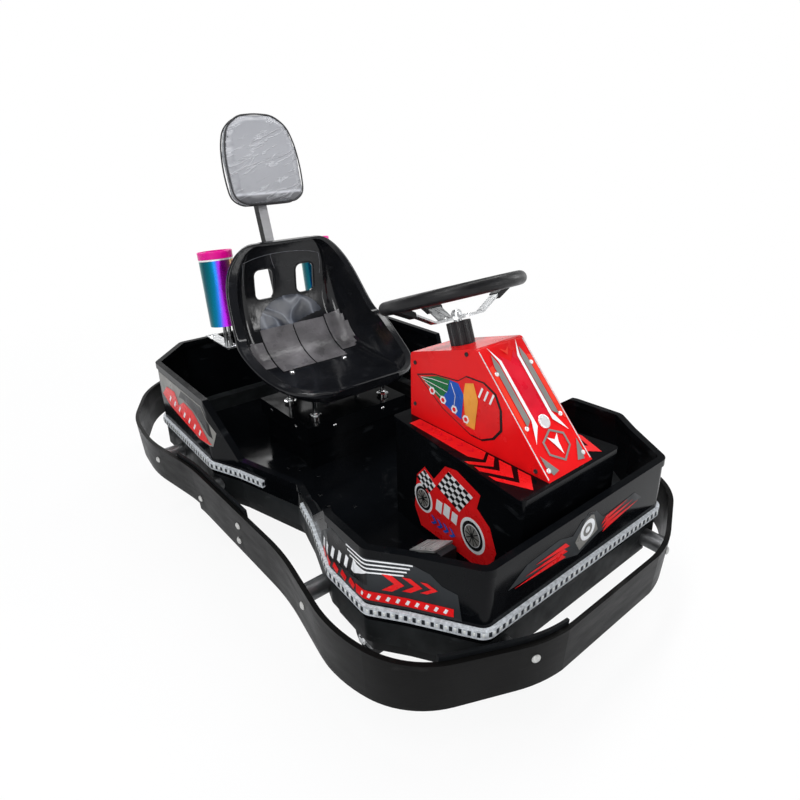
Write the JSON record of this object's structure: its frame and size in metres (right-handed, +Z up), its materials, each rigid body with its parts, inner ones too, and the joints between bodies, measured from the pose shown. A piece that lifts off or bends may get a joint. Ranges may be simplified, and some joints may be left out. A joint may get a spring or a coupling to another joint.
{
  "type": "battery bumper car",
  "caption": "Small battery bumper car: waisted tub, all-round belt bumper, bucket seat, headrest and steering wheel on a sloped console, rear drive wheels and front swivel casters.",
  "frame": {"origin": "floor level, under the middle of the whole car's box", "axes": "+Z up, front of the car towards -Y, the car's own right side towards -X"},
  "size_m": [0.8202, 1.476, 0.9546],
  "materials": {
    "body_black": "gloss black powder coat",
    "frame_black": "satin black paint",
    "frame_grey": "grey primer",
    "light_strip": "clear silicone light strip",
    "belt_rubber": "smooth black belt",
    "plate_black": "satin black",
    "bare_steel": "bare steel",
    "console_red": "gloss red panel",
    "deck_black": "gloss black",
    "seat_black": "gloss moulded plastic",
    "cushion_grey": "grey padded cover",
    "grip_black": "soft black grip",
    "spoke_silver": "brushed silver",
    "pipe_rainbow": "rainbow finish",
    "tyre_black": "black rubber tyre",
    "hub_silver": "satin",
    "housing_dark": "matt dark",
    "pedal_grey": "worn plate"
  },
  "bodies": {
    "chassis": {"tub_rear": "body_black", "tub_front": "body_black", "tub_sills": "body_black", "perimeter_tube": "frame_black", "lower_frame": "frame_grey", "floor_pan": "deck_black", "light_strips": "light_strip", "belt_front": "belt_rubber", "belt_rear": "belt_rubber", "splice_plates": "plate_black", "belt_brackets": "bare_steel", "seat_box": "deck_black", "seat_box_lid": "deck_black", "battery_block": "housing_dark", "deck_box": "deck_black", "console_sides": "console_red", "console_back": "console_red", "console_top": "console_red", "console_front": "console_red", "column_bush": "housing_dark", "seat_shell": "seat_black", "seat_studs": "bare_steel", "headrest_post": "bare_steel", "headrest_channel": "plate_black", "headrest_cushion": "cushion_grey", "tailpipe_right": "pipe_rainbow", "tailpipe_left": "pipe_rainbow", "tailpipe_brackets": "bare_steel", "rear_axle": "bare_steel", "axle_hangers": "frame_black", "motor_block": "housing_dark", "caster_mounts": "bare_steel", "pedal_plate": "pedal_grey", "pedal_housing": "housing_dark"},
    "steering": {"steering_ring": "grip_black", "steering_grips": "grip_black", "steering_spokes": "spoke_silver", "steering_shaft": "bare_steel"},
    "rear_wheel_right": {"rear_tyre_right": "tyre_black", "rear_rim_right": "hub_silver"},
    "rear_wheel_left": {"rear_tyre_left": "tyre_black", "rear_rim_left": "hub_silver"},
    "caster_right": {"caster_fork_right": "bare_steel"},
    "caster_left": {"caster_fork_left": "bare_steel"},
    "caster_wheel_right": {"caster_tyre_right": "tyre_black", "caster_hub_right": "hub_silver"},
    "caster_wheel_left": {"caster_tyre_left": "tyre_black", "caster_hub_left": "hub_silver"}
  },
  "joints": [
    {"name": "steering_turn", "type": "hinge", "parent": "chassis", "child": "steering", "pos_m": [0, -0.336, 0.627], "axis": [0, 0.3387, 0.9409], "range_deg": [-105, 135]},
    {"name": "rear_spin_right", "type": "hinge", "parent": "chassis", "child": "rear_wheel_right", "pos_m": [-0.218, 0.3, 0.07], "axis": [1, 0, 0], "continuous": true},
    {"name": "caster_swivel_right", "type": "hinge", "parent": "chassis", "child": "caster_right", "pos_m": [-0.268, -0.44, 0.09], "axis": [0, 0, 1], "continuous": true},
    {"name": "caster_spin_right", "type": "hinge", "parent": "caster_right", "child": "caster_wheel_right", "pos_m": [-0.268, -0.41, 0.0375], "axis": [1, 0, 0], "continuous": true},
    {"name": "rear_spin_left", "type": "hinge", "parent": "chassis", "child": "rear_wheel_left", "pos_m": [0.218, 0.3, 0.07], "axis": [1, 0, 0], "continuous": true},
    {"name": "caster_swivel_left", "type": "hinge", "parent": "chassis", "child": "caster_left", "pos_m": [0.268, -0.44, 0.09], "axis": [0, 0, 1], "continuous": true},
    {"name": "caster_spin_left", "type": "hinge", "parent": "caster_left", "child": "caster_wheel_left", "pos_m": [0.268, -0.41, 0.0375], "axis": [1, 0, 0], "continuous": true}
  ]
}
